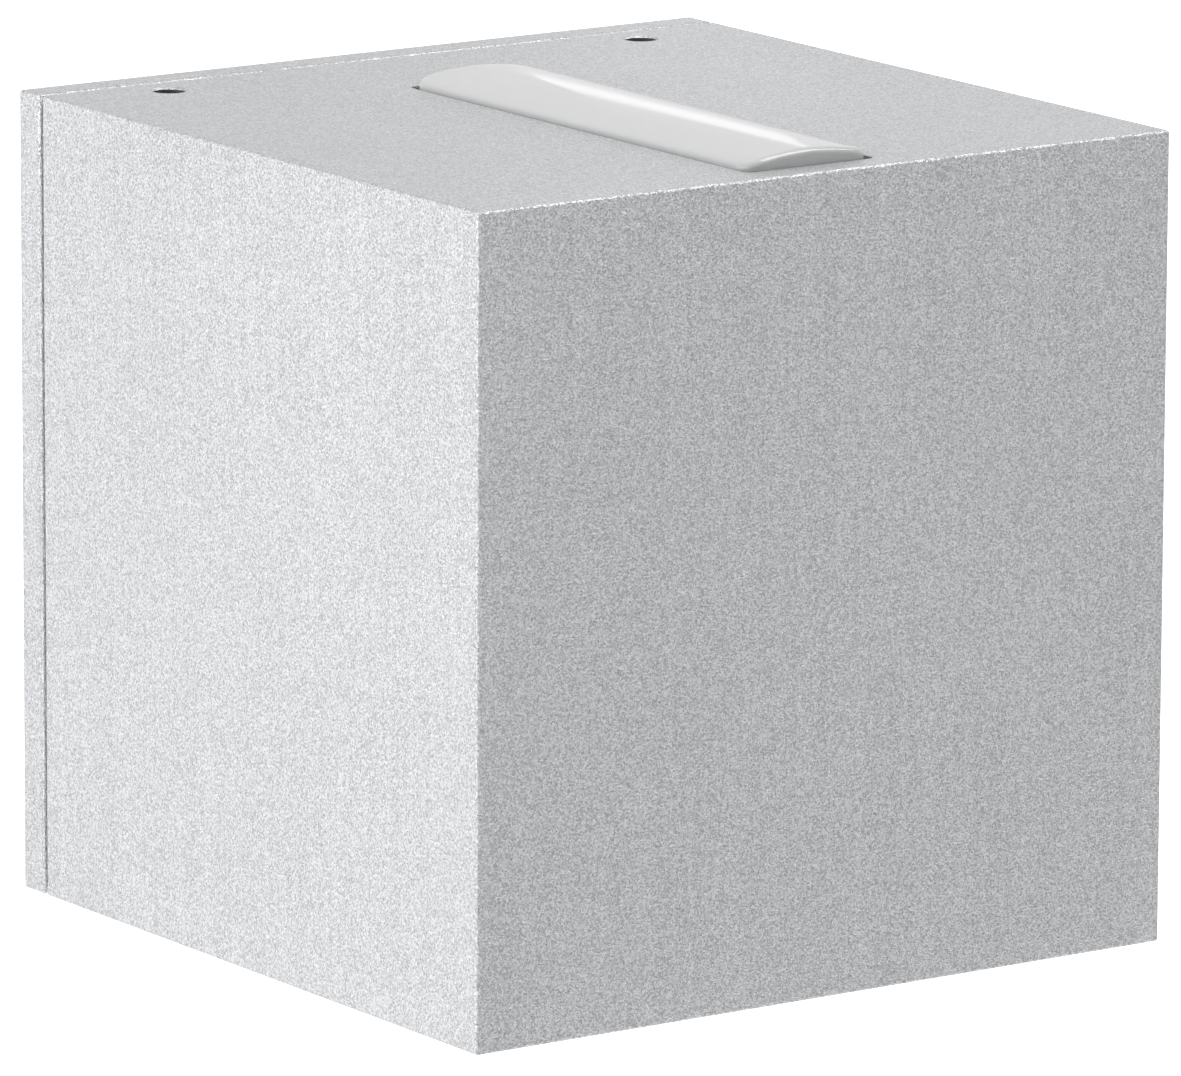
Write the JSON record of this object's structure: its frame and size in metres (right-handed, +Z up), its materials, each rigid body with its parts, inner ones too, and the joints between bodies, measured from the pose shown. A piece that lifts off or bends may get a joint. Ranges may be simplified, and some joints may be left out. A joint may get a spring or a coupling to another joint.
{
  "type": "wall light",
  "caption": "Cube-shaped outdoor wall light that shines up and down through long convex lenses, with a housing that slides off its wall plate.",
  "frame": {"origin": "centre of the wall plate's back face, which lies on the wall", "axes": "+Y points into the wall, +Z is up, +X is to the right when facing the front; the front looks along -Y"},
  "size_m": [0.1, 0.1, 0.103],
  "materials": {
    "silver_coat": "fine-textured silver metallic powder coat on die-cast aluminium",
    "seal_rubber": "matt black rubber",
    "terminal_plastic": "moulded, off-white",
    "brass": "plain brass",
    "zinc_steel": "zinc-plated steel",
    "stainless_steel": "stainless steel",
    "lens_satin": "opal acrylic, smooth and glossy",
    "bare_aluminium": "bare extruded aluminium",
    "thermal_pad": "soft silicone pad, pale blue",
    "solder_mask_white": "white solder mask on an aluminium core",
    "led_phosphor": "yellow phosphor in a white package",
    "reflector_white": "moulded, high-reflectance white",
    "driver_plastic": "moulded, white",
    "circuit_green": "green solder mask on glass fibre",
    "transformer_tape": "yellow tape over copper windings and a ferrite core",
    "capacitor_sleeve": "dark blue sleeve",
    "lead_brown": "brown insulation",
    "lead_blue": "blue insulation",
    "lead_green_yellow": "green and yellow striped insulation",
    "lead_red": "red insulation",
    "lead_black": "black insulation"
  },
  "bodies": {
    "plate": {"wall_plate": "silver_coat", "plate_seal": "seal_rubber", "cable_grommet": "seal_rubber", "terminal_socket": "terminal_plastic", "contact_pins": "brass", "terminal_screws": "zinc_steel", "socket_screws": "zinc_steel", "plate_earth_tag": "brass", "plate_earth_screw": "brass", "plate_earth_washer": "zinc_steel", "plate_earth_lead": "lead_green_yellow"},
    "housing": {"housing": "silver_coat", "lens_top": "lens_satin", "lens_bottom": "lens_satin", "lens_seal_top": "seal_rubber", "lens_seal_bottom": "seal_rubber", "carrier_top": "bare_aluminium", "carrier_bottom": "bare_aluminium", "carrier_screws_top": "zinc_steel", "carrier_screws_bottom": "zinc_steel", "thermal_pad_top": "thermal_pad", "thermal_pad_bottom": "thermal_pad", "led_board_top": "solder_mask_white", "led_board_bottom": "solder_mask_white", "leds_top": "led_phosphor", "leds_bottom": "led_phosphor", "board_screws_top": "zinc_steel", "board_screws_bottom": "zinc_steel", "reflector_top": "reflector_white", "reflector_bottom": "reflector_white", "board_plug_top": "terminal_plastic", "board_plug_bottom": "terminal_plastic", "driver_case": "driver_plastic", "driver_cover": "driver_plastic", "driver_board": "circuit_green", "driver_transformer": "transformer_tape", "driver_capacitors": "capacitor_sleeve", "driver_terminals": "terminal_plastic", "driver_screws": "zinc_steel", "terminal_plug": "terminal_plastic", "live_lead": "lead_brown", "neutral_lead": "lead_blue", "earth_lead": "lead_green_yellow", "housing_earth_tag": "brass", "housing_earth_screw": "brass", "housing_earth_washer": "zinc_steel", "led_leads_top": "lead_red", "led_leads_bottom": "lead_black"},
    "grub_left": {"grub_screw_left": "stainless_steel"},
    "grub_right": {"grub_screw_right": "stainless_steel"}
  },
  "joints": [
    {"name": "housing_pull", "type": "slide", "parent": "plate", "child": "housing", "axis": [0, -1, 0], "range_m": [0, 0.11]},
    {"name": "grub_left_out", "type": "slide", "parent": "housing", "child": "grub_left", "axis": [0, 0, 1], "range_m": [0, 0.006]},
    {"name": "grub_right_out", "type": "slide", "parent": "housing", "child": "grub_right", "axis": [0, 0, 1], "range_m": [0, 0.006]}
  ]
}
